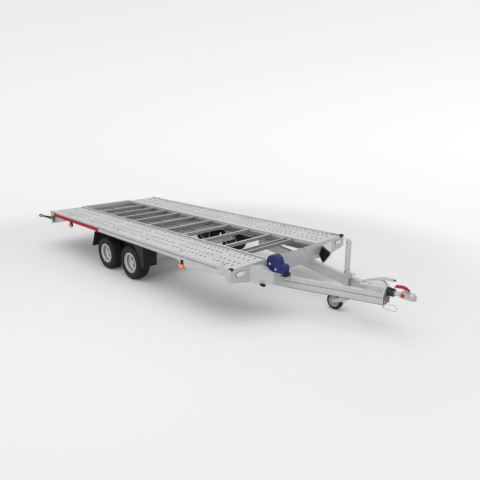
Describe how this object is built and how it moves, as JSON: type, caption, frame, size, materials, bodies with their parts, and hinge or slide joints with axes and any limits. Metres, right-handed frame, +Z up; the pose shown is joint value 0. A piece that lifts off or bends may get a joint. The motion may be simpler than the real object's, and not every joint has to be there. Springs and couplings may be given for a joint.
{
  "type": "twin-axle car trailer",
  "caption": "Galvanised flat-bed car trailer with perforated runways, tandem axles, V drawbar, overrun coupling, jockey wheel and a blue wheel chock.",
  "frame": {"origin": "on the ground under the middle of the overall length and width, cable left out", "axes": "+X forward to the coupling, +Y to the left, +Z up"},
  "size_m": [6.099, 2.492, 0.9],
  "materials": {
    "galvanised_steel": "hot-dip galvanised, matt",
    "tyre_rubber": "matt",
    "silver_paint": "satin",
    "cast_steel": "zinc plated",
    "black_plastic": "grained",
    "black_rubber": "matt",
    "amber_lens": "clear moulding",
    "red_lens": "clear moulding",
    "clear_lens": "clear moulding",
    "blue_plastic": "moulded",
    "red_plastic": "moulded",
    "red_sheath": "coated cable",
    "dark_zinc": "painted"
  },
  "bodies": {
    "chassis": {"axle_front": "galvanised_steel", "axle_rear": "galvanised_steel", "breakaway_cable": "red_sheath", "chassis_beams": "galvanised_steel", "chock_holder": "galvanised_steel", "corner_caps": "black_plastic", "coupling_bellows": "black_rubber", "coupling_handle": "red_plastic", "coupling_head": "cast_steel", "coupling_housing": "galvanised_steel", "coupling_shaft": "galvanised_steel", "coupling_side_caps": "red_plastic", "cross_members": "galvanised_steel", "drawbar_beam_left": "galvanised_steel", "drawbar_beam_right": "galvanised_steel", "drawbar_end_plate": "dark_zinc", "front_gusset_left": "galvanised_steel", "front_gusset_right": "galvanised_steel", "front_lamps": "clear_lens", "front_panel": "galvanised_steel", "handbrake_button": "black_plastic", "handbrake_lever": "galvanised_steel", "jockey_clamp": "galvanised_steel", "jockey_crank": "galvanised_steel", "jockey_crank_knob": "black_plastic", "jockey_tube": "galvanised_steel", "lamp_board": "galvanised_steel", "marker_brackets": "black_plastic", "mudguard_hangers": "galvanised_steel", "mudguard_left": "black_plastic", "mudguard_right": "black_plastic", "outline_lamp_arms": "black_rubber", "outline_lamps": "red_lens", "rear_beam": "galvanised_steel", "rear_lamps": "red_lens", "rear_skirts": "galvanised_steel", "runway_left": "galvanised_steel", "runway_right": "galvanised_steel", "side_markers": "amber_lens", "side_rail_left": "galvanised_steel", "side_rail_right": "galvanised_steel", "swing_arms_front": "cast_steel", "swing_arms_rear": "cast_steel", "wheel_chock": "blue_plastic"},
    "jockey_leg": {"jockey_leg": "galvanised_steel"},
    "jockey_fork": {"jockey_fork": "galvanised_steel"},
    "jockey_wheel": {"jockey_rim": "silver_paint", "jockey_tyre": "tyre_rubber"},
    "wheel_front_right": {"hub_drum_front_right": "cast_steel", "wheel_rim_front_right": "silver_paint", "tyre_front_right": "tyre_rubber"},
    "wheel_front_left": {"hub_drum_front_left": "cast_steel", "wheel_rim_front_left": "silver_paint", "tyre_front_left": "tyre_rubber"},
    "wheel_rear_right": {"hub_drum_rear_right": "cast_steel", "wheel_rim_rear_right": "silver_paint", "tyre_rear_right": "tyre_rubber"},
    "wheel_rear_left": {"hub_drum_rear_left": "cast_steel", "wheel_rim_rear_left": "silver_paint", "tyre_rear_left": "tyre_rubber"}
  },
  "joints": [
    {"name": "wheel_front_right_spin", "type": "hinge", "parent": "chassis", "child": "wheel_front_right", "pos_m": [-0.4965, -0.948, 0.235], "axis": [0, 1, 0], "continuous": true},
    {"name": "wheel_front_left_spin", "type": "hinge", "parent": "chassis", "child": "wheel_front_left", "pos_m": [-0.4965, 0.948, 0.235], "axis": [0, 1, 0], "continuous": true},
    {"name": "wheel_rear_right_spin", "type": "hinge", "parent": "chassis", "child": "wheel_rear_right", "pos_m": [-1.1605, -0.948, 0.235], "axis": [0, 1, 0], "continuous": true},
    {"name": "wheel_rear_left_spin", "type": "hinge", "parent": "chassis", "child": "wheel_rear_left", "pos_m": [-1.1605, 0.948, 0.235], "axis": [0, 1, 0], "continuous": true},
    {"name": "jockey_leg_slide", "type": "slide", "parent": "chassis", "child": "jockey_leg", "axis": [0, 0, 1], "range_m": [-0.12, 0.07]},
    {"name": "jockey_fork_swivel", "type": "hinge", "parent": "jockey_leg", "child": "jockey_fork", "pos_m": [2.1955, 0.118, 0.16], "axis": [0, 0, 1], "continuous": true},
    {"name": "jockey_wheel_spin", "type": "hinge", "parent": "jockey_fork", "child": "jockey_wheel", "pos_m": [2.0635, 0.118, 0.1], "axis": [0, 1, 0], "continuous": true}
  ]
}
